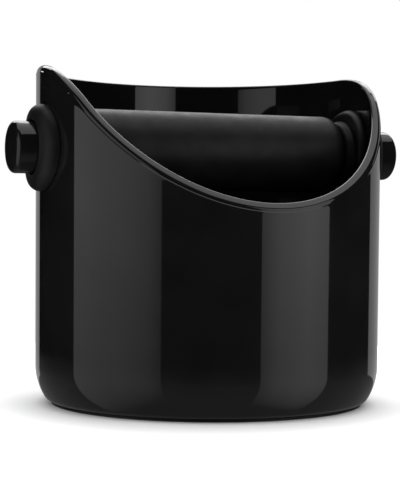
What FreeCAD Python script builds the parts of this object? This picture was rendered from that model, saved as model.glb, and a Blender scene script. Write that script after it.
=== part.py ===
"""Espresso knock box: a round moulded bin with a slanted scoop at its front, and a rubber-sleeved
knock bar that crosses it on two rubber grommets.

Row frame, millimetres: +X along the bar, -Y towards the scooped front, +Z up. The origin is the middle
of the base, on the surface that the box stands on.
"""

import math
import os
import re

import FreeCAD
import Part
import Sketcher

# alias: (value, what it is). Lengths are in millimetres and angles in degrees.
DIMENSIONS = {
    "foot_radius": (63.85, "outer radius of the bin where its wall starts"),
    "draft": (0.2, "draft of the bin's wall, inside and outside"),
    "wall": (3.4, "thickness of the bin's wall"),
    "blank_height": (132, "height of the bin before its rim is cut"),
    "corner_height": (8.25, "height where the wall line turns in to the base"),
    "corner_radius": (22, "large radius of the base corner"),
    "base_edge": (59.55, "radius where the slanted corner meets the base"),
    "base_radius": (4, "small radius of the base corner"),
    "base_gap": (0.8, "height of the bin's base above the surface it stands on"),
    "floor_under": (3.6, "height of the recessed underside"),
    "floor_top": (7, "height of the floor inside"),
    "floor_radius": (12, "radius inside, between the floor and the wall"),
    "channel_in": (50.5, "inner radius of the base ring's channel"),
    "channel_out": (56, "outer radius of the base ring's channel"),
    "channel_top": (3.8, "height of the channel's roof"),
    "rib_in": (46.5, "inner radius of the rib inside the channel"),
    "scoop_reach": (60.6, "distance of the scoop's low point from the axis"),
    "scoop_low": (75.3, "height of the scoop's low point"),
    "scoop_angle": (44, "slope of the scoop"),
    "scoop_radius": (50, "radius between the scoop and the level rim"),
    "rim_front": (124.1, "height where the scoop line meets the rim line"),
    "rim_back": (122.7, "height of the rim line behind the bin"),
    "rim_overrun": (75, "how far the rim cut runs past the bin"),
    "rim_out": (1.8, "rounding of the rim's outer edge"),
    "rim_in": (0.8, "rounding of the rim's inner edge"),
    "bar_height": (93.5, "height of the bar's axis"),
    "grommet_hole": (12, "radius of the holes in the wall for the grommets"),
    "ring_in": (47, "inner radius of the base ring"),
    "ring_out": (58, "outer radius of the base ring"),
    "ring_land": (2.2, "width of one of the ring's lands"),
    "ring_groove": (0.5, "depth of the grooves between its lands"),
    "core_radius": (6, "radius of the steel core"),
    "core_half": (67, "half the length of the core"),
    "core_chamfer": (0.6, "chamfer at the core's ends"),
    "stud_radius": (2.95, "radius of the M6 studs"),
    "tap_radius": (3, "radius of the tapped holes"),
    "tap_bottom": (55.5, "distance of a tapped hole's bottom from the middle"),
    "running": (0.05, "radial clearance of what turns or slides"),
    "sleeve_radius": (14.55, "radius of the sleeve"),
    "sleeve_half": (51.5, "half the length of the sleeve"),
    "sleeve_shoulder": (4.6, "rounding of the sleeve's ends"),
    "collar_start": (52.3, "distance of the grommet's collar from the middle"),
    "collar_small": (12.4, "radius of the collar at its free end"),
    "collar_large": (13.2, "radius of the collar at its shoulder"),
    "collar_end": (55.6, "distance of the collar's shoulder from the middle"),
    "collar_round": (1.1, "rounding of the collar"),
    "neck_radius": (12, "radius of the grommet's neck, between collar and ring"),
    "ring_radius": (17.5, "radius of the grommet's inner ring"),
    "ring_thick": (4, "thickness of the inner ring"),
    "ring_round": (2.2, "rounding of the inner ring"),
    "flange_radius": (15.65, "radius of the grommet's outer flange"),
    "flange_thick": (4.7, "thickness of the outer flange"),
    "flange_round": (3.8, "rounding of the outer flange"),
    "recess_radius": (9.8, "radius of the recess that the knob sits in"),
    "recess_floor": (66.6, "distance of the recess's floor from the middle"),
    "spool_end": (67.6, "distance where the grommet's spool ends, inside its flange"),
    "knob_radius": (9.35, "radius of the knobs"),
    "knob_start": (67.2, "distance of a knob's inner face from the middle"),
    "knob_end": (76.2, "distance of a knob's outer face from the middle"),
    "knob_round": (2.1, "rounding of a knob's outer edge"),
    "knob_back": (0.5, "rounding of a knob's inner edge"),
    "insert_radius": (4.2, "radius of the stud's head, moulded into the knob"),
    "insert_start": (68.4, "distance of the stud's head from the middle"),
    "insert_end": (73.4, "distance of the stud's outer end from the middle"),
    "stud_start": (57, "distance of the stud's inner end from the middle"),
    "stud_chamfer": (0.7, "chamfer at the stud's inner end"),
}

SHEET = "dimensions"
SIDES = (("right", 0), ("left", 180))  # name, and how far it is turned about +Z from the right-hand piece
SLACK = 0.4  # how far the grommet's discs reach into the wall before the wall is cut from them

doc = FreeCAD.newDocument("knock_box")
sub_parts = []


def fill_sheet():
    """Puts the driving dimensions into the document's spreadsheet."""
    sheet = doc.addObject("Spreadsheet::Sheet", SHEET)
    for row, (alias, (value, meaning)) in enumerate(DIMENSIONS.items(), start=1):
        sheet.set(f"A{row}", meaning)
        sheet.set(f"B{row}", str(value))
        sheet.setAlias(f"B{row}", alias)
    doc.recompute()


def formula(text):
    """The text with each alias turned into a reference to its cell."""
    return re.sub(r"[a-z_]+", lambda word: f"{SHEET}.{word[0]}" if word[0] in DIMENSIONS else word[0], text)


def value_of(text):
    """The number that a formula gives now."""
    return float(doc.getObject(SHEET).evalExpression(text))


def bind(thing, name, text):
    """Binds one property of an object to the sheet."""
    thing.setExpression(name, formula(text))


def plane_of(body, role):
    """One of a body's own origin planes or axes."""
    for feature in body.Origin.OriginFeatures:
        if feature.Role == role:
            return feature
    raise ValueError(role)


def new_body(name):
    body = doc.addObject("PartDesign::Body", name)
    body.Label = name
    return body


def new_sketch(body, name, role):
    sketch = body.newObject("Sketcher::SketchObject", name)
    sketch.AttachmentSupport = [(plane_of(body, role), "")]
    sketch.MapMode = "FlatFace"
    return sketch


def outline(sketch, corners):
    """Draws a closed outline. Each corner is (x formula, y formula, radius formula or None), and the
    corner points and the radii are bound to the sheet."""
    points = [FreeCAD.Vector(value_of(x), value_of(y), 0) for x, y, _ in corners]
    rounds = [value_of(r) if r else 0.0 for _, _, r in corners]
    count = len(corners)

    def toward(start, end):
        return (end - start).normalize()

    def cut_back(i, other):
        """The point where the rounding of corner i starts, on the side towards another corner."""
        if not rounds[i]:
            return points[i]
        before = toward(points[i], points[i - 1])
        after = toward(points[i], points[(i + 1) % count])
        half = before.getAngle(after) / 2
        return points[i] + toward(points[i], points[other]) * (rounds[i] / math.tan(half))

    marks = []
    for i, (x, y, _) in enumerate(corners):
        mark = sketch.addGeometry(Part.Point(points[i]), True)
        marks.append(mark)
        for kind, text in (("DistanceX", x), ("DistanceY", y)):
            number = value_of(text)
            index = sketch.addConstraint(Sketcher.Constraint(kind, -1, 1, mark, 1, number))
            sketch.setExpression(f"Constraints[{index}]", formula(text))
    lines = []
    for i in range(count):
        after = (i + 1) % count
        lines.append(sketch.addGeometry(Part.LineSegment(cut_back(i, after), cut_back(after, i)), False))
    for i, (_, _, radius) in enumerate(corners):
        before, after = lines[i - 1], lines[i]
        if not radius:
            sketch.addConstraint(Sketcher.Constraint("Coincident", before, 2, marks[i], 1))
            sketch.addConstraint(Sketcher.Constraint("Coincident", after, 1, marks[i], 1))
            continue
        start, end = cut_back(i, i - 1), cut_back(i, (i + 1) % count)
        middle_way = (toward(points[i], start) + toward(points[i], end)).normalize()
        half = toward(points[i], start).getAngle(toward(points[i], end)) / 2
        middle = points[i] + middle_way * (rounds[i] / math.sin(half) - rounds[i])
        arc = sketch.addGeometry(Part.Arc(start, middle, end), False)
        ends = [sketch.getPoint(arc, end_point).distanceToPoint(start) for end_point in (1, 2)]
        first, second = (1, 2) if ends[0] < ends[1] else (2, 1)
        sketch.addConstraint(Sketcher.Constraint("PointOnObject", marks[i], 1, before))
        sketch.addConstraint(Sketcher.Constraint("PointOnObject", marks[i], 1, after))
        sketch.addConstraint(Sketcher.Constraint("Tangent", before, 2, arc, first))
        sketch.addConstraint(Sketcher.Constraint("Tangent", after, 1, arc, second))
        index = sketch.addConstraint(Sketcher.Constraint("Radius", arc, rounds[i]))
        sketch.setExpression(f"Constraints[{index}]", formula(radius))
    doc.recompute()


def revolve(body, name, role, axis, corners):
    """A full turn of an outline about one of its sketch's axes."""
    sketch = new_sketch(body, f"{name}_section", role)
    outline(sketch, corners)
    turned = body.newObject("PartDesign::Revolution", f"{name}_turned")
    turned.Profile = sketch
    turned.ReferenceAxis = (sketch, [axis])
    turned.Angle = 360
    doc.recompute()
    return turned


def lathe_piece(name, corners, turn=0, along="H_Axis"):
    """A body turned from one outline, in the plane of X and Z. H_Axis turns it about the sketch's
    horizontal axis and V_Axis about its vertical one."""
    body = new_body(name)
    revolve(body, name, "XZ_Plane", along, corners)
    if along == "H_Axis":
        bind(body, ".Placement.Base.z", "bar_height")
    body.Placement.Rotation = FreeCAD.Rotation(FreeCAD.Vector(0, 0, 1), turn)
    doc.recompute()
    return body


def pocket_through(body, sketch, name):
    """Cuts a sketch right through the body, both ways from its plane."""
    before = body.Shape.Volume
    pocket = body.newObject("PartDesign::Pocket", name)
    pocket.Profile = sketch
    pocket.Type = "ThroughAll"
    pocket.Midplane = True
    doc.recompute()
    if not body.Shape.Volume < before:
        raise RuntimeError(f"{name} cut nothing")
    return pocket


def make_bin():
    """The moulded bin: a drafted cylinder with a soft base corner, a recessed underside with a channel
    for the base ring, a slanted scoop at the front, two holes for the grommets and a rounded rim."""
    body = new_body("bin")
    top_outer = "foot_radius + ( blank_height - corner_height ) * tan(draft)"
    top_inner = "foot_radius - wall + ( blank_height - floor_top ) * tan(draft)"
    section = [
        ("foot_radius", "corner_height", "corner_radius"),
        ("base_edge", "base_gap", "base_radius"),
        ("channel_out", "base_gap", None),
        ("channel_out", "channel_top", None),
        ("channel_in", "channel_top", None),
        ("channel_in", "base_gap", None),
        ("rib_in", "base_gap", None),
        ("rib_in", "floor_under", None),
        ("0", "floor_under", None),
        ("0", "floor_top", None),
        ("foot_radius - wall", "floor_top", "floor_radius"),
        (top_inner, "blank_height", None),
        (top_outer, "blank_height", None),
    ]
    revolve(body, "bin", "XZ_Plane", "V_Axis", section)

    rim = new_sketch(body, "rim_line", "YZ_Plane")
    slope = "tan(scoop_angle)"
    outline(rim, [
        ("0 - rim_overrun", f"scoop_low - ( rim_overrun - scoop_reach ) * {slope}", None),
        (f"( rim_front - scoop_low ) / {slope} - scoop_reach", "rim_front", "scoop_radius"),
        ("rim_overrun", "rim_back", None),
        ("rim_overrun", "blank_height + rim_overrun", None),
        ("0 - rim_overrun", "blank_height + rim_overrun", None),
    ])
    pocket_through(body, rim, "rim_cut")
    round_rim(body)

    holes = new_sketch(body, "grommet_holes", "YZ_Plane")
    centre = FreeCAD.Vector(0, value_of("bar_height"), 0)
    hole = Part.Circle(centre, FreeCAD.Vector(0, 0, 1), value_of("grommet_hole"))
    circle = holes.addGeometry(hole, False)
    holes.addConstraint(Sketcher.Constraint("PointOnObject", circle, 3, -2))
    sizes = (("DistanceY", (-1, 1, circle, 3), "bar_height"), ("Radius", (circle,), "grommet_hole"))
    for kind, args, text in sizes:
        index = holes.addConstraint(Sketcher.Constraint(kind, *args, value_of(text)))
        holes.setExpression(f"Constraints[{index}]", formula(text))
    doc.recompute()
    pocket_through(body, holes, "grommet_bores")
    return body


def round_rim(body):
    """Rounds the rim's outer edge, then its inner one."""
    for name, size, outer in (("rim_outside", "rim_out", True), ("rim_inside", "rim_in", False)):
        edges = rim_edges(body.Shape, outer)
        fillet = body.newObject("PartDesign::Fillet", name)
        fillet.Base = (body.Tip if body.Tip != fillet else fillet.BaseFeature, edges)
        fillet.Radius = value_of(size)
        bind(fillet, "Radius", size)
        doc.recompute()


def rim_edges(shape, outer):
    """The names of the edges where the rim cut meets the bin's outer or inner wall."""
    lowest = value_of("scoop_low") - 10
    middle = value_of("foot_radius") - value_of("wall") / 2
    names = []
    for number, edge in enumerate(shape.Edges, start=1):
        samples = edge.discretize(9)
        if min(point.z for point in samples) < lowest:
            continue
        radii = [math.hypot(point.x, point.y) for point in samples]
        if max(radii) - min(radii) > 1.2:
            continue
        if (min(radii) > middle) == outer:
            names.append(f"Edge{number}")
    return names


def make_base_ring():
    """The non-slip ring: a tongue that presses into the bin's channel, and three lands to stand on."""
    step = "( ring_out - ring_in - ring_land ) / 2"
    corners = [("ring_in", "0", None)]
    for k in range(3):
        start = f"ring_in + {k} * {step}"
        if k:
            corners += [(start, "ring_groove", None), (start, "0", None)]
        corners.append((f"{start} + ring_land", "0", None))
        if k < 2:
            corners.append((f"{start} + ring_land", "ring_groove", None))
    corners += [
        ("ring_out", "base_gap", None),
        ("channel_out", "base_gap", None),
        ("channel_out", "channel_top", None),
        ("channel_in", "channel_top", None),
        ("channel_in", "base_gap", None),
        ("ring_in", "base_gap", None),
    ]
    return lathe_piece("base_ring", corners, along="V_Axis")


def cylinder(name, radius, height, upright):
    """A cylinder about the bin's axis, or about the bar's axis from the middle towards +X."""
    solid = doc.addObject("Part::Cylinder", name)
    bind(solid, "Radius", radius)
    bind(solid, "Height", height)
    if not upright:
        solid.Placement.Rotation = FreeCAD.Rotation(FreeCAD.Vector(0, 1, 0), 90)
        bind(solid, ".Placement.Base.z", "bar_height")
    doc.recompute()
    return solid


def combine(kind, name, base, tool):
    result = doc.addObject(f"Part::{kind}", name)
    result.Base = base
    result.Tool = tool
    doc.recompute()
    return result


def wrapped_disc(name, disc_radius, inner, outer, rounding, round_outer):
    """A disc across the bar's axis whose two faces follow the bin's wall, with its free edge rounded."""
    shell = combine(
        "Cut",
        f"{name}_shell",
        cylinder(f"{name}_outer", outer, "blank_height", True),
        cylinder(f"{name}_inner", inner, "blank_height", True),
    )
    disc = combine("Common", f"{name}_disc", shell, cylinder(f"{name}_bar", disc_radius, "knob_end", False))
    free_radius = value_of(outer if round_outer else inner)
    edges = []
    for number, edge in enumerate(disc.Shape.Edges, start=1):
        samples = edge.discretize(9)
        if max(abs(math.hypot(point.x, point.y) - free_radius) for point in samples) < 0.01:
            edges.append((number, value_of(rounding), value_of(rounding)))
    fillet = doc.addObject("Part::Fillet", name)
    fillet.Base = disc
    fillet.Edges = edges
    doc.recompute()
    return fillet


def make_grommet(side, turn, bin_body):
    """A rubber grommet: an outer flange and an inner ring that grip the wall between them, a collar that
    holds the sleeve off the wall, a bore for the core and a recess for the knob."""
    wall_outer = "foot_radius + ( bar_height - corner_height ) * tan(draft)"
    wall_inner = f"{wall_outer} - wall"
    flange = wrapped_disc(
        f"{side}_flange", "flange_radius",
        f"{wall_outer} - {SLACK}", f"{wall_outer} + flange_thick", "flange_round", True
    )
    ring = wrapped_disc(
        f"{side}_ring", "ring_radius",
        f"{wall_inner} - ring_thick", f"{wall_inner} + {SLACK}", "ring_round", False
    )
    spool = lathe_piece(f"{side}_spool", [
        ("collar_start", "0", None),
        ("collar_start", "collar_small", "collar_round"),
        ("collar_end", "collar_large", "collar_round"),
        ("collar_end + collar_round", "neck_radius", None),
        ("spool_end", "neck_radius", None),
        ("spool_end", "0", None),
    ])
    rubber = doc.addObject("Part::MultiFuse", f"{side}_rubber")
    rubber.Shapes = [flange, ring, spool]
    recess = lathe_piece(f"{side}_recess", [
        ("collar_start - 1", "0", None),
        ("collar_start - 1", "core_radius + running", None),
        ("recess_floor", "core_radius + running", None),
        ("recess_floor", "recess_radius", None),
        ("knob_end", "recess_radius", None),
        ("knob_end", "0", None),
    ])
    doc.recompute()
    bored = combine("Cut", f"{side}_bored", rubber, recess)
    bored.Placement.Rotation = FreeCAD.Rotation(FreeCAD.Vector(0, 0, 1), turn)
    doc.recompute()
    grommet = combine("Cut", f"{side}_grommet", bored, bin_body)
    grommet.Label = f"{side}_grommet"
    return grommet


def make_sleeve():
    """The thick rubber sleeve that takes the knocks."""
    return lathe_piece("bar_sleeve", [
        ("0 - sleeve_half", "core_radius + running", None),
        ("0 - sleeve_half", "sleeve_radius", "sleeve_shoulder"),
        ("sleeve_half", "sleeve_radius", "sleeve_shoulder"),
        ("sleeve_half", "core_radius + running", None),
    ])


def make_core():
    """The steel core, with a tapped hole in each end."""
    return lathe_piece("bar_core", [
        ("0 - tap_bottom", "0", None),
        ("0 - tap_bottom", "tap_radius", None),
        ("0 - core_half", "tap_radius", None),
        ("0 - core_half", "core_radius - core_chamfer", None),
        ("core_chamfer - core_half", "core_radius", None),
        ("core_half - core_chamfer", "core_radius", None),
        ("core_half", "core_radius - core_chamfer", None),
        ("core_half", "tap_radius", None),
        ("tap_bottom", "tap_radius", None),
        ("tap_bottom", "0", None),
    ])


def make_knob(side, turn):
    """A hard plastic knob, moulded round the head of its stud."""
    return lathe_piece(f"{side}_knob", [
        ("knob_start", "stud_radius", None),
        ("knob_start", "knob_radius", "knob_back"),
        ("knob_end", "knob_radius", "knob_round"),
        ("knob_end", "0", None),
        ("insert_end", "0", None),
        ("insert_end", "insert_radius", None),
        ("insert_start", "insert_radius", None),
        ("insert_start", "stud_radius", None),
    ], turn)


def make_stud(side, turn):
    """The threaded stud that joins a knob to the core."""
    return lathe_piece(f"{side}_stud", [
        ("stud_start", "0", None),
        ("stud_start", "stud_radius - stud_chamfer", None),
        ("stud_start + stud_chamfer", "stud_radius", None),
        ("insert_start", "stud_radius", None),
        ("insert_start", "insert_radius", None),
        ("insert_end", "insert_radius", None),
        ("insert_end", "0", None),
    ], turn)


def check_document():
    """Stops if anything in the document failed to compute."""
    for thing in doc.Objects:
        if any(word in thing.State for word in ("Invalid", "Error")):
            raise RuntimeError(f"{thing.Label} did not compute: {thing.State}")


def write_parts(parts):
    """Writes each sub-part's shape, once it has been checked."""
    os.makedirs("parts", exist_ok=True)
    for part in parts:
        shape = part.Shape
        if shape.isNull() or not shape.isValid() or not shape.Solids:
            raise RuntimeError(f"{part.Label} has no valid solid")
        shape.exportStep(f"parts/{part.Label}.step")
        box = shape.BoundBox
        print(f"{part.Label}: {len(shape.Solids)} solid, {shape.Volume:.1f} mm3, "
              f"{box.XLength:.2f} x {box.YLength:.2f} x {box.ZLength:.2f} mm")


fill_sheet()
bin_body = make_bin()
sub_parts += [bin_body, make_base_ring(), make_sleeve(), make_core()]
for side, turn in SIDES:
    sub_parts += [make_grommet(side, turn, bin_body), make_knob(side, turn), make_stud(side, turn)]
doc.recompute()
check_document()
write_parts(sub_parts)
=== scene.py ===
import math

import bmesh
import bpy
from mathutils import Matrix, Vector


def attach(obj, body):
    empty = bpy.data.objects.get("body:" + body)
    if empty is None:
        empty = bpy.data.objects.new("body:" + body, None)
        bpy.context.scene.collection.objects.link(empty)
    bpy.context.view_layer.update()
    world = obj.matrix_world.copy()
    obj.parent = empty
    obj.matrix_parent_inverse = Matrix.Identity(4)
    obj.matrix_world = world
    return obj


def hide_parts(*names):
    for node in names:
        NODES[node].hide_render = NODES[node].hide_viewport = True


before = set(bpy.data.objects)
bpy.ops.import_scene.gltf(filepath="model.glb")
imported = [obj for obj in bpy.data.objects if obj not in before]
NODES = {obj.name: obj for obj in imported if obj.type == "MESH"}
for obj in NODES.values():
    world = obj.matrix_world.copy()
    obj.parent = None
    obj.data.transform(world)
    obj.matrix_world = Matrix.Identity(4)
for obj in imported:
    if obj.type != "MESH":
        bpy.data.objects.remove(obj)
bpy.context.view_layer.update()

MM = 0.001

# ---------------------------------------------------------------- dimensions, in millimetres
FOOT_RADIUS = 63.85
DRAFT = math.tan(math.radians(0.2))
WALL = 3.4
CORNER_HEIGHT, CORNER_ROUND = 8.25, 22.0
BASE_EDGE, BASE_ROUND = 59.55, 4.0
BASE_GAP = 0.8
FLOOR_UNDER = 3.6
FLOOR_TOP = 7.0
FLOOR_ROUND = 12.0
RIB_IN, CHANNEL_IN, CHANNEL_OUT, CHANNEL_TOP = 46.5, 50.5, 56.0, 3.8
SCOOP_REACH, SCOOP_LOW, SCOOP_SLOPE, SCOOP_ROUND = 60.6, 75.3, math.tan(math.radians(44)), 50.0
RIM_FRONT, RIM_BACK, RIM_END = 124.1, 122.7, 75.0
RIM_OUT, RIM_IN = 1.8, 0.8
SEAM = 0.2  # step between the wall and the rolled edge above it
BAR = 93.5  # height of the bar's axis
HOLE = 12.0
WALL_AT_BAR = FOOT_RADIUS + (BAR - CORNER_HEIGHT) * DRAFT
SLEEVE_HALF, SLEEVE_RADIUS, SLEEVE_ROUND = 51.5, 14.55, 4.6
CORE_HOLE = 6.05
COLLAR_START, COLLAR_SHOULDER, COLLAR_SMALL, COLLAR_LARGE, COLLAR_ROUND = 52.3, 55.6, 12.4, 13.2, 1.1
NECK_START, NECK_RADIUS = 56.4, 12.0
RING_THICK, RING_RADIUS = 4, 17.5
FLANGE_THICK, FLANGE_RADIUS, FLANGE_ROUND = 4.7, 15.65, 3.8
RECESS_FLOOR, RECESS_RADIUS = 66.6, 9.8
GRIP_RADIUS, GRIP_GAP = 11.95, 0.02  # the grommet inside the hole, and the gaps to the wall's two faces
KNOB_START, KNOB_END, KNOB_RADIUS, KNOB_CROWN = 67.2, 76.2, 9.35, 0.08
HEAD_START, HEAD_END, HEAD_RADIUS = 68.4, 73.4, 4.2  # the stud's head, moulded into the knob
STUD_START, THREAD_PITCH, THREAD_CREST, THREAD_ROOT = 57.0, 1.0, 2.95, 2.42
MIDDLE_HOLE = 0.9  # radius of the middle of the bin's floor, closed by one fan of faces
SHARP, SHARP_TURNED, SHARP_STUD = 32, 50, 40  # degrees from which an edge is drawn sharp


def outer_radius(z):
    """Radius of the bin's outer wall at a height."""
    return FOOT_RADIUS + (z - CORNER_HEIGHT) * DRAFT


def inner_radius(z):
    """Radius of the bin's inner wall at a height."""
    return FOOT_RADIUS - WALL + (z - FLOOR_TOP) * DRAFT


# ---------------------------------------------------------------- shape helpers


def rounded(corners, steps):
    """The points of a line through (a, b, radius) corners, with each corner rounded."""
    line = []
    for i, (a, b, radius) in enumerate(corners):
        here = Vector((a, b))
        if not radius:
            line.append(here)
            continue
        before = (Vector(corners[i - 1][:2]) - here).normalized()
        after = (Vector(corners[i + 1][:2]) - here).normalized()
        half = before.angle(after) / 2
        line += arc_points(here, before, after, half, radius, steps)
    return line


def arc_points(corner, before, after, half, radius, steps):
    """Points on the arc that rounds a corner, from its start towards before to its end towards after."""
    start = corner + before * (radius / math.tan(half))
    end = corner + after * (radius / math.tan(half))
    centre = corner + (before + after).normalized() * (radius / math.sin(half))
    points = []
    turn = math.pi - 2 * half
    for k in range(steps + 1):
        t = k / steps
        weight_end = math.sin(t * turn) / math.sin(turn)
        weight_start = math.sin((1 - t) * turn) / math.sin(turn)
        points.append(centre + (start - centre) * weight_start + (end - centre) * weight_end)
    return points


def refine(line, longest):
    """Adds points so that no step of the line is longer than the given length."""
    fine = [line[0]]
    for a, b in zip(line, line[1:]):
        count = max(1, math.ceil((b - a).length / longest))
        fine += [a.lerp(b, k / count) for k in range(1, count + 1)]
    return fine


def mesh_piece(name, build, sharp=SHARP):
    """An object from a bmesh builder, in metres, smooth but for its sharp edges."""
    bm = bmesh.new()
    build(bm)
    bmesh.ops.recalc_face_normals(bm, faces=bm.faces)
    bmesh.ops.scale(bm, vec=(MM, MM, MM), verts=bm.verts)
    mesh = bpy.data.meshes.new(name)
    bm.to_mesh(mesh)
    bm.free()
    for face in mesh.polygons:
        face.use_smooth = True
    mesh.set_sharp_from_angle(angle=math.radians(sharp))
    piece = bpy.data.objects.new(name, mesh)
    bpy.context.scene.collection.objects.link(piece)
    return piece


def skin_rings(bm, rings):
    """Quads between rings of vertices. A ring of one vertex closes an end."""
    for a, b in zip(rings, rings[1:]):
        n = max(len(a), len(b))
        for k in range(n):
            j = (k + 1) % n
            corners = []
            for v in (a[k % len(a)], a[j % len(a)], b[j % len(b)], b[k % len(b)]):
                if v not in corners:
                    corners.append(v)
            if len(corners) > 2:
                bm.faces.new(corners)


def turned_about_bar(bm, profile, side=1, count=128, follow=None):
    """A surface turned about the bar's axis from (distance, radius) points. follow(distance, radius)
    says how far, from 0 to 1, a point bends back with the round wall."""
    rings = []
    for s, r in profile:
        if r < 1e-6:
            rings.append([bm.verts.new((side * s, 0, BAR))])
            continue
        ring = []
        for k in range(count):
            angle = 2 * math.pi * k / count
            y, z = r * math.cos(angle), r * math.sin(angle)
            bend = follow(s, r) * (math.sqrt(WALL_AT_BAR**2 - y * y) - WALL_AT_BAR) if follow else 0
            ring.append(bm.verts.new((side * (s + bend), y, BAR + z)))
        rings.append(ring)
    skin_rings(bm, rings)
    return rings


# ---------------------------------------------------------------- bin


def rim_height(y):
    """Height of the rim cut over the bin's width: the straight scoop, an arc, and the near-level back."""
    corner_y = (RIM_FRONT - SCOOP_LOW) / SCOOP_SLOPE - SCOOP_REACH
    fall = (RIM_BACK - RIM_FRONT) / (RIM_END - corner_y)
    corner = Vector((corner_y, RIM_FRONT))
    before = Vector((-1, -SCOOP_SLOPE)).normalized()
    after = Vector((1, fall)).normalized()
    half = before.angle(after) / 2
    reach = SCOOP_ROUND / math.tan(half)
    if y <= corner_y + before.x * reach:
        return RIM_FRONT + (y - corner_y) * SCOOP_SLOPE
    if y >= corner_y + after.x * reach:
        return RIM_FRONT + (y - corner_y) * fall
    centre = corner + (before + after).normalized() * (SCOOP_ROUND / math.sin(half))
    return centre.y + math.sqrt(SCOOP_ROUND**2 - (y - centre.x) ** 2)


def rim_corner(angle, radius_at):
    """Where the rim cut meets a wall, at an angle round the bin."""
    z = 100.0
    for _ in range(6):
        z = rim_height(radius_at(z) * math.sin(angle))
    r = radius_at(z)
    return Vector((r * math.cos(angle), r * math.sin(angle), z))


def rim_rounding(angle, radius_at, outward, radius, steps):
    """The rolled edge between a wall and the rim cut, from the wall to the cut."""
    corner = rim_corner(angle, radius_at)
    along = (rim_corner(angle + 0.002, radius_at) - rim_corner(angle - 0.002, radius_at)).normalized()
    radial = Vector((math.cos(angle), math.sin(angle), 0)) * outward
    step = 0.01
    slope = (rim_height(corner.y + step) - rim_height(corner.y - step)) / (2 * step)
    cut_normal = Vector((0, -slope, 1)).normalized()
    down = along.cross(radial).normalized()
    down *= -1 if down.z > 0 else 1
    across = along.cross(cut_normal).normalized()
    across *= -1 if across.dot(radial) > 0 else 1
    half = down.angle(across) / 2
    return arc_points(corner, down, across, half, radius, steps)


def wall_rows(low, top, radius_at, count):
    """Points up a wall between a low point and a high one, crowded towards the top."""
    a0, a1 = math.atan2(low.y, low.x), math.atan2(top.y, top.x)
    a1 = a0 + (a1 - a0 + math.pi) % (2 * math.pi) - math.pi
    rows = []
    for k in range(1, count):
        t = 1 - (1 - k / count) ** 1.6
        z = low.z + (top.z - low.z) * t
        a = a0 + (a1 - a0) * t**3
        rows.append(Vector((radius_at(z) * math.cos(a), radius_at(z) * math.sin(a), z)))
    return rows


def bin_column(angle, outside, inside):
    """One line round the bin's section, from the middle of the underside to the middle of the floor."""
    direction = Vector((math.cos(angle), math.sin(angle), 0))

    def place(point):
        return direction * point.x + Vector((0, 0, point.y))

    outer_arc = rim_rounding(angle, lambda z: outer_radius(z) - SEAM, 1, RIM_OUT, 10)
    inner_arc = rim_rounding(angle, inner_radius, -1, RIM_IN, 8)
    column = [place(p) for p in outside]
    top = outer_arc[0]
    out = Vector((top.x, top.y, 0)).normalized()
    edge = (outer_arc[0] - outer_arc[1]).normalized()
    lip = top + edge * 0.5 + out * SEAM
    column += wall_rows(column[-1], lip, outer_radius, 26)
    column += [lip, top + edge * 0.24] + outer_arc
    column += [outer_arc[-1].lerp(inner_arc[-1], t) for t in (0.33, 0.67)]
    column += list(reversed(inner_arc))
    low = place(inside[0])
    column += list(reversed(wall_rows(low, inner_arc[0], inner_radius, 22)))
    column += [place(p) for p in inside]
    return column


def bin_outside():
    """The bin's section from the middle of the underside to the foot of the wall, as (radius, height)."""
    return refine(
        rounded(
            [
                (MIDDLE_HOLE, FLOOR_UNDER, 0),
                (RIB_IN, FLOOR_UNDER, 0.5),
                (RIB_IN, BASE_GAP, 0.4),
                (CHANNEL_IN, BASE_GAP, 0),
                (CHANNEL_IN, CHANNEL_TOP, 0),
                (CHANNEL_OUT, CHANNEL_TOP, 0),
                (CHANNEL_OUT, BASE_GAP, 0),
                (BASE_EDGE, BASE_GAP, BASE_ROUND),
                (FOOT_RADIUS, CORNER_HEIGHT, CORNER_ROUND),
                (outer_radius(40), 40, 0),
            ],
            steps=14,
        )[:-1],
        6,
    )


def bin_inside():
    """The bin's section from the foot of the inner wall to the middle of the floor."""
    return rounded(
        [
            (inner_radius(60), 60, 0),
            (FOOT_RADIUS - WALL, FLOOR_TOP, FLOOR_ROUND),
            (22, FLOOR_TOP, 0),
            (4, FLOOR_TOP, 0),
            (MIDDLE_HOLE, FLOOR_TOP, 0),
        ],
        steps=14,
    )[1:]


def build_bin(bm):
    outside, inside = bin_outside(), bin_inside()
    count = 480
    columns = []
    for k in range(count):
        angle = 2 * math.pi * (k + 0.5) / count
        columns.append([bm.verts.new(p) for p in bin_column(angle, outside, inside)])
    for a, b in zip(columns, columns[1:] + columns[:1]):
        for k in range(len(a) - 1):
            bm.faces.new((a[k], b[k], b[k + 1], a[k + 1]))
    for end, z in ((0, FLOOR_UNDER), (-1, FLOOR_TOP)):
        middle = bm.verts.new((0, 0, z))
        for a, b in zip(columns, columns[1:] + columns[:1]):
            bm.faces.new((a[end], b[end], middle))


def bore_bin(piece):
    """Cuts the two grommet holes with one long cylinder along the bar's axis."""
    reach = 90
    profile = [(-reach, 0), (-reach, HOLE), (reach, HOLE), (reach, 0)]
    tool = mesh_piece("hole_tool", lambda bm: turned_about_bar(bm, profile, count=96))
    cut = piece.modifiers.new("holes", "BOOLEAN")
    cut.operation, cut.solver, cut.object = "DIFFERENCE", "EXACT", tool
    bpy.context.view_layer.update()
    done = bpy.data.meshes.new_from_object(piece.evaluated_get(bpy.context.evaluated_depsgraph_get()))
    piece.modifiers.clear()
    piece.data = done
    bpy.data.objects.remove(tool)
    done.set_sharp_from_angle(angle=math.radians(SHARP))


# ---------------------------------------------------------------- bar, grommets and knobs


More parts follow.
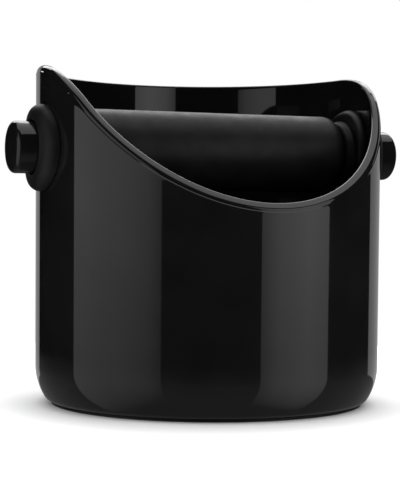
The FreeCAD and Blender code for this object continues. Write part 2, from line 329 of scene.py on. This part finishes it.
def build_sleeve(bm):
    profile = rounded(
        [
            (-SLEEVE_HALF, CORE_HOLE, 0),
            (-SLEEVE_HALF, SLEEVE_RADIUS, SLEEVE_ROUND),
            (SLEEVE_HALF, SLEEVE_RADIUS, SLEEVE_ROUND),
            (SLEEVE_HALF, CORE_HOLE, 0),
        ],
        steps=12,
    )
    rings = turned_about_bar(bm, refine(profile, 5), count=160)
    skin_rings(bm, [rings[-1], rings[0]])


def wall_bend(distance, radius):
    """How far a point of a grommet follows the round wall: the collar and the recess don't, the ring
    and the flange do."""
    straight_to, straight_in = NECK_START + 0.1, RECESS_RADIUS + 0.05
    if distance < straight_to or radius <= straight_in:
        return 0.0
    if distance > WALL_AT_BAR:
        return min(1.0, (radius - straight_in) / 2.0)
    return min(1.0, (distance - straight_to) / 0.4)


def build_grommet(bm, side):
    inner_face = WALL_AT_BAR - WALL
    ring_face, flange_face = inner_face - RING_THICK, WALL_AT_BAR + FLANGE_THICK
    profile = rounded(
        [
            (COLLAR_START, CORE_HOLE, 0),
            (COLLAR_START, COLLAR_SMALL, COLLAR_ROUND),
            (COLLAR_SHOULDER, COLLAR_LARGE, COLLAR_ROUND),
            (NECK_START, NECK_RADIUS, 0.3),
            (ring_face, NECK_RADIUS, 0.4),
            (ring_face, RING_RADIUS, 2.2),
            (inner_face - GRIP_GAP, RING_RADIUS, 1.6),
            (inner_face - GRIP_GAP, GRIP_RADIUS, 0),
            (WALL_AT_BAR + GRIP_GAP, GRIP_RADIUS, 0),
            (WALL_AT_BAR + GRIP_GAP, FLANGE_RADIUS, 0.4),
            (flange_face, FLANGE_RADIUS, FLANGE_ROUND),
            (flange_face, RECESS_RADIUS, 0.8),
            (RECESS_FLOOR, RECESS_RADIUS, 0.5),
            (RECESS_FLOOR, CORE_HOLE, 0),
        ],
        steps=9,
    )
    rings = turned_about_bar(bm, refine(profile, 2.5), side=side, count=144, follow=wall_bend)
    skin_rings(bm, [rings[-1], rings[0]])


def build_knob(bm, side):
    """The knob's skin, with a slightly crowned face, and the pocket that the stud's head fills."""
    profile = rounded(
        [
            (KNOB_START, THREAD_CREST, 0),
            (KNOB_START, KNOB_RADIUS, 0.5),
            (KNOB_END - KNOB_CROWN, KNOB_RADIUS, 1.9),
            (KNOB_END, 3.0, 3),
            (KNOB_END, 0, 0),
        ],
        steps=12,
    )
    socket = [(HEAD_END, 0), (HEAD_END, HEAD_RADIUS), (HEAD_START, HEAD_RADIUS), (HEAD_START, THREAD_CREST)]
    face = turned_about_bar(bm, refine(profile, 1.2), side=side, count=128)
    pocket = turned_about_bar(bm, socket, side=side, count=128)
    skin_rings(bm, [face[0], pocket[-1]])


def build_stud(bm, side):
    """The stud with an M6 thread, as one helical surface between a chamfered tip and the head."""
    around, rows_per_pitch = 48, 12
    length = HEAD_START - STUD_START
    rows = int(length / THREAD_PITCH * rows_per_pitch)
    chamfer_long, chamfer_deep = 0.8, 0.17

    def ring_at(s, radius_at):
        """A ring of points at a distance s, with radius_at giving the radius at a part of the turn."""
        ring = []
        for k in range(around):
            angle = 2 * math.pi * k / around
            r = radius_at(k / around)
            ring.append(bm.verts.new((side * s, r * math.cos(angle), BAR + r * math.sin(angle))))
        return ring

    def thread_radius(s, turned):
        along = s - STUD_START
        limit = THREAD_ROOT - chamfer_deep + along if along < chamfer_long else THREAD_CREST
        phase = (along / THREAD_PITCH - turned) % 1.0
        height = max(0.0, min(1.0, (0.5 - abs(phase - 0.5)) * 2 * 1.25 - 0.12))
        return min(limit, THREAD_ROOT + (THREAD_CREST - THREAD_ROOT) * height)

    rings = [[bm.verts.new((side * STUD_START, 0, BAR))]]
    for i in range(rows + 1):
        s = STUD_START + length * i / rows
        rings.append(ring_at(s, lambda turned: thread_radius(s, turned)))
    rings += [ring_at(s, lambda turned: HEAD_RADIUS) for s in (HEAD_START, HEAD_END)]
    rings.append([bm.verts.new((side * HEAD_END, 0, BAR))])
    skin_rings(bm, rings)


# ---------------------------------------------------------------- materials


def set_range(node, from_low, from_high, to_low, to_high):
    """Fills a Map Range node."""
    values = {"From Min": from_low, "From Max": from_high, "To Min": to_low, "To Max": to_high}
    for key, value in values.items():
        node.inputs[key].default_value = value


class Shader:
    """A Principled material with short helpers for its texture nodes."""

    def __init__(self, name, **values):
        self.material = bpy.data.materials.new(name)
        self.material.use_nodes = True
        self.tree = self.material.node_tree
        self.surface = self.tree.nodes["Principled BSDF"]
        self.place = self.node("ShaderNodeTexCoord").outputs["Object"]
        for key, value in values.items():
            self.surface.inputs[key.replace("_", " ").title().replace("Ior", "IOR")].default_value = value

    def node(self, kind, **settings):
        made = self.tree.nodes.new(kind)
        for key, value in settings.items():
            setattr(made, key, value)
        return made

    def link(self, source, target):
        self.tree.links.new(source, target)

    def stretched(self, scale):
        """Object coordinates scaled by axis, so that a low number draws the grain out along it."""
        mapping = self.node("ShaderNodeMapping")
        mapping.inputs["Scale"].default_value = scale
        self.link(self.place, mapping.inputs["Vector"])
        return mapping.outputs["Vector"]

    def noise(self, scale, detail=2.0, stretch=None, rough=0.5):
        made = self.node("ShaderNodeTexNoise")
        made.inputs["Scale"].default_value = scale
        made.inputs["Detail"].default_value = detail
        made.inputs["Roughness"].default_value = rough
        self.link(self.stretched(stretch) if stretch else self.place, made.inputs["Vector"])
        return made.outputs["Fac"]

    def ranged(self, source, low, high, from_low=0.3, from_high=0.7):
        made = self.node("ShaderNodeMapRange")
        set_range(made, from_low, from_high, low, high)
        self.link(source, made.inputs["Value"])
        return made.outputs["Result"]

    def colours(self, source, dark, light):
        ramp = self.node("ShaderNodeValToRGB")
        ramp.color_ramp.elements[0].position = 0.3
        ramp.color_ramp.elements[1].position = 0.7
        ramp.color_ramp.elements[0].color = (*dark, 1)
        ramp.color_ramp.elements[1].color = (*light, 1)
        self.link(source, ramp.inputs["Fac"])
        self.link(ramp.outputs["Color"], self.surface.inputs["Base Color"])

    def add(self, a, b):
        made = self.node("ShaderNodeMath", operation="ADD")
        self.link(a, made.inputs[0])
        self.link(b, made.inputs[1])
        return made.outputs["Value"]

    def roughness(self, source):
        self.link(source, self.surface.inputs["Roughness"])

    def bump(self, source, strength, distance):
        made = self.node("ShaderNodeBump")
        made.inputs["Strength"].default_value = strength
        made.inputs["Distance"].default_value = distance
        self.link(source, made.inputs["Height"])
        self.link(made.outputs["Normal"], self.surface.inputs["Normal"])


def gloss_plastic(name, smooth, rough, wave):
    """Polished black plastic, with roughness from smooth to rough, faint scratches and a slight wave."""
    s = Shader(name, ior=1.5)
    s.colours(s.noise(55, 3), (0.0042, 0.0042, 0.0044), (0.0062, 0.0062, 0.0065))
    scratches = s.ranged(s.noise(420, 1, (1, 1, 0.06)), 0.0, 0.02, 0.62, 0.8)
    s.roughness(s.add(s.ranged(s.noise(38, 4), smooth, rough), scratches))
    s.bump(s.noise(70, 1), 1.0, wave)
    return s.material


def rubber(name, dark, light, low, high, grain, depth, specular, stretch=None):
    """dark to light is the colour, low to high the roughness, and grain and depth are the bump."""
    s = Shader(name, ior=1.5, specular_ior_level=specular)
    s.colours(s.noise(120, 4), dark, light)
    s.roughness(s.ranged(s.noise(260, 3), low, high))
    s.bump(s.noise(grain, 3, stretch, 0.6), 0.8, depth)
    return s.material


def steel(name, low, high, stretch):
    """Turned steel, with roughness from low to high and its tool marks drawn out by stretch."""
    s = Shader(name, metallic=1.0)
    s.colours(s.noise(200, 3), (0.42, 0.42, 0.43), (0.56, 0.56, 0.57))
    s.roughness(s.ranged(s.noise(900, 2, stretch), low, high))
    s.bump(s.noise(1400, 2, stretch), 0.6, 0.00001)
    return s.material


def paint(piece, material):
    """Gives a piece its one material."""
    piece.data.materials.clear()
    piece.data.materials.append(material)


bin_plastic = gloss_plastic("bin_gloss_plastic", 0.03, 0.06, 0.000004)
knob_plastic = gloss_plastic("knob_gloss_plastic", 0.06, 0.11, 0.000003)
grommet_rubber = rubber(
    "grommet_rubber", (0.005, 0.005, 0.0053), (0.009, 0.009, 0.0094), 0.42, 0.55, 1500, 0.00003, 0.2
)
sleeve_rubber = rubber(
    "sleeve_rubber", (0.006, 0.006, 0.0065), (0.011, 0.011, 0.0115), 0.42, 0.52, 1200, 0.00002, 0.24,
    stretch=(0.25, 1, 1)
)
foot_rubber = rubber(
    "foot_rubber", (0.003, 0.003, 0.003), (0.006, 0.006, 0.006), 0.6, 0.75, 1400, 0.00004, 0.36
)
bar_steel = steel("bar_steel", 0.22, 0.36, (1, 0.05, 0.05))
stud_steel = steel("stud_steel", 0.2, 0.32, (1, 0.3, 0.3))


def finish_piece(piece, node, body, material):
    """Puts a finished piece in its CAD node's place, on its body."""
    paint(piece, material)
    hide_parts(node)
    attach(piece, body)


bin_shell = mesh_piece("bin_shell", build_bin)
bore_bin(bin_shell)
finish_piece(bin_shell, "bin", "box", bin_plastic)

sleeve = mesh_piece("knock_sleeve", build_sleeve, SHARP_TURNED)
finish_piece(sleeve, "bar_sleeve", "knock_bar", sleeve_rubber)

for side, sign in (("left", -1), ("right", 1)):
    grommet = mesh_piece(f"{side}_wall_grommet", lambda bm: build_grommet(bm, sign), SHARP_TURNED)
    finish_piece(grommet, f"{side}_grommet", "box", grommet_rubber)
    knob = mesh_piece(f"{side}_end_knob", lambda bm: build_knob(bm, sign), SHARP_TURNED)
    finish_piece(knob, f"{side}_knob", f"{side}_end", knob_plastic)
    stud = mesh_piece(f"{side}_threaded_stud", lambda bm: build_stud(bm, sign), SHARP_STUD)
    finish_piece(stud, f"{side}_stud", f"{side}_end", stud_steel)

paint(NODES["base_ring"], foot_rubber)
paint(NODES["bar_core"], bar_steel)

# ---------------------------------------------------------------- camera

CAMERA_PLACE = Vector((-0.2162, -0.5179, 0.0710))
HEADING, PITCH, ROLL = math.radians(22.384), math.radians(1.251), math.radians(0.503)

camera = bpy.data.objects.new("camera", bpy.data.cameras.new("camera"))
camera.data.lens = 110.1
camera.data.sensor_width = 36
camera.matrix_world = (
    Matrix.Translation(CAMERA_PLACE)
    @ Matrix.Rotation(-HEADING, 4, "Z")
    @ Matrix.Rotation(math.pi / 2 - PITCH, 4, "X")
    @ Matrix.Rotation(ROLL, 4, "Z")
)
bpy.context.scene.collection.objects.link(camera)
bpy.context.scene.camera = camera

# ---------------------------------------------------------------- studio

AWAY = Vector((-CAMERA_PLACE.x, -CAMERA_PLACE.y, 0)).normalized()
RIGHT = Vector((AWAY.y, -AWAY.x, 0))


UP = Vector((0, 0, 1))


def shade_card(light, shades, rise):
    """Shades an area light. shades are (place along its x axis, brightness) pairs, and rise holds the two
    places up it between which it brightens from nothing."""
    light.use_nodes = True
    tree = light.node_tree
    emission = tree.nodes["Emission"]
    ramp = tree.nodes.new("ShaderNodeValToRGB")
    points = ramp.color_ramp.elements
    while len(points) < len(shades):
        points.new(0.5)
    for point, (place, value) in zip(points, shades):
        point.position = place
        point.color = (value, value, value, 1)
    across = tree.nodes.new("ShaderNodeSeparateXYZ")
    tree.links.new(tree.nodes.new("ShaderNodeNewGeometry").outputs["Parametric"], across.inputs[0])
    tree.links.new(across.outputs["X"], ramp.inputs["Fac"])
    tree.links.new(ramp.outputs["Color"], emission.inputs["Color"])
    fade = tree.nodes.new("ShaderNodeMapRange")
    set_range(fade, *rise, 0.0, 1.0)
    tree.links.new(across.outputs["Y"], fade.inputs["Value"])
    tree.links.new(fade.outputs["Result"], emission.inputs["Strength"])


def softbox(name, width, height, radiance):
    """A rectangular light that the camera doesn't see, of an even radiance."""
    light = bpy.data.lights.new(name, "AREA")
    light.shape = "RECTANGLE"
    light.size, light.size_y = width, height
    light.energy = radiance * width * height * math.pi
    lamp = bpy.data.objects.new(name, light)
    lamp.visible_camera = False
    bpy.context.scene.collection.objects.link(lamp)
    return lamp


def card(name, start, end, bottom, top, radiance, shades=None):
    """An upright softbox from start to end, each (right of the object, beyond it) as seen from the
    camera. shades are (place, brightness) pairs from start to end, and a shaded card brightens from
    nothing at its bottom to its full brightness at FULL_FROM."""
    a, b = (RIGHT * p[0] + AWAY * p[1] for p in (start, end))
    lamp = softbox(name, (b - a).length, top - bottom, radiance)
    along = (b - a).normalized()
    middle = (a + b) / 2
    facing = UP.cross(along)
    if facing.dot(-middle) < 0:
        facing = -facing
        shades = [(1 - place, value) for place, value in reversed(shades)] if shades else None
    turn = Matrix((UP.cross(-facing), UP, -facing)).transposed().to_4x4()
    lamp.matrix_world = Matrix.Translation(middle + UP * (top + bottom) / 2) @ turn
    if shades:
        shade_card(lamp.data, shades, (0.0, (FULL_FROM - bottom) / (top - bottom)))


def hung_softbox(name, right, away, height, width, depth, radiance):
    """A softbox above the object, aimed at it. right and away are as the camera sees them."""
    lamp = softbox(name, width, depth, radiance)
    lamp.location = RIGHT * right + AWAY * away + UP * height
    lamp.rotation_euler = (UP * 0.1 - lamp.location).to_track_quat("-Z", "Y").to_euler()


CARD_BOTTOM, FULL_FROM = -0.12, 0.08
LEFT_FRONT, LEFT_JOIN, LEFT_BACK = (-0.096, -0.206), (-0.1112, -0.057), (-0.1128, -0.0362)
RIGHT_FRONT, RIGHT_BACK = (0.085, -0.155), (0.131, -0.0544)
LEFT_SHADES = [(0, 0.36), (0.3, 0.66), (0.7, 0.86), (1, 0.9)]
LEFT_END_SHADES = [(0, 0.9), (1, 0.8)]
RIGHT_SHADES = [(0, 0.42), (0.3, 0.82), (0.7, 1), (1, 0.74)]

card("left_softbox", LEFT_FRONT, LEFT_JOIN, CARD_BOTTOM, 0.15, 0.95, LEFT_SHADES)
card("left_softbox_end", LEFT_JOIN, LEFT_BACK, CARD_BOTTOM, 0.113, 0.95, LEFT_END_SHADES)
card("right_softbox", RIGHT_FRONT, RIGHT_BACK, CARD_BOTTOM, 0.17, 1.3, RIGHT_SHADES)
card("back_softbox", (-0.74, 1.1), (1.14, 1.1), -0.2, 1.0, 0.42)
hung_softbox("top_softbox", 0.05, 0.12, 1.0, 1.2, 1.15, 1.25)
hung_softbox("rear_top_softbox", 0.0, 0.85, 0.75, 1.3, 0.45, 2.9)


def floor_with_painted_shadow():
    """White floor paint that glows more away from the object, a painted shadow round its base. In glossy
    reflections the floor is clear, with a painted reflection: a dim glow round the object."""
    material = bpy.data.materials.new("floor_painted_shadow_and_reflection")
    material.use_nodes = True
    nodes, link = material.node_tree.nodes, material.node_tree.links.new
    pale = nodes["Principled BSDF"]
    pale.inputs["Base Color"].default_value = (0.9, 0.9, 0.9, 1)
    pale.inputs["Roughness"].default_value = 0.9
    pale.inputs["Emission Color"].default_value = (1, 1, 1, 1)
    painted_reflection_glow = nodes.new("ShaderNodeEmission")
    reach = nodes.new("ShaderNodeVectorMath")
    reach.operation = "LENGTH"
    link(nodes.new("ShaderNodeTexCoord").outputs["Object"], reach.inputs[0])
    painted_shadow_ramp, painted_reflection_ramp = nodes.new("ShaderNodeMapRange"), nodes.new("ShaderNodeMapRange")
    # painted shadow: the floor's glow drops from 0.3 to 0.02 close round the base
    set_range(painted_shadow_ramp, 0.062, 0.09, 0.02, 0.3)
    # painted reflection: glossy rays see a glow of 0.14 round the object, fading to nothing further out
    set_range(painted_reflection_ramp, 0.07, 0.24, 0.14, 0.0)
    for fade, strength in ((painted_shadow_ramp, pale.inputs["Emission Strength"]), (painted_reflection_ramp, painted_reflection_glow.inputs["Strength"])):
        link(reach.outputs["Value"], fade.inputs["Value"])
        link(fade.outputs["Result"], strength)
    # glossy rays pass through the floor and pick up the painted reflection glow
    clear, mix = nodes.new("ShaderNodeAddShader"), nodes.new("ShaderNodeMixShader")
    link(painted_reflection_glow.outputs["Emission"], clear.inputs[0])
    link(nodes.new("ShaderNodeBsdfTransparent").outputs["BSDF"], clear.inputs[1])
    link(nodes.new("ShaderNodeLightPath").outputs["Is Glossy Ray"], mix.inputs["Fac"])
    link(pale.outputs["BSDF"], mix.inputs[1])
    link(clear.outputs["Shader"], mix.inputs[2])
    link(mix.outputs["Shader"], nodes["Material Output"].inputs["Surface"])
    return material


def make_floor():
    """A white disc just below the base ring."""
    mesh = bpy.data.meshes.new("floor")
    bm = bmesh.new()
    bmesh.ops.create_circle(bm, cap_ends=True, segments=128, radius=0.26)
    bm.to_mesh(mesh)
    bm.free()
    mesh.materials.append(floor_with_painted_shadow())
    made = bpy.data.objects.new("floor", mesh)
    made.location.z = -0.0001
    made.visible_shadow = False
    bpy.context.scene.collection.objects.link(made)
    return made


def make_world():
    """White to the camera, dimmer as a light, and absent from glossy reflections."""
    world = bpy.data.worlds.new("studio")
    bpy.context.scene.world = world
    world.use_nodes = True
    nodes, link = world.node_tree.nodes, world.node_tree.links.new
    strength = nodes.new("ShaderNodeMapRange")
    set_range(strength, 0.0, 1.0, 0.6, 1.0)
    link(nodes.new("ShaderNodeLightPath").outputs["Is Camera Ray"], strength.inputs["Value"])
    link(strength.outputs["Result"], nodes["Background"].inputs["Strength"])
    nodes["Background"].inputs["Color"].default_value = (1, 1, 1, 1)
    world.cycles_visibility.glossy = False


floor = make_floor()
make_world()
bpy.context.scene.view_settings.view_transform = "Standard"
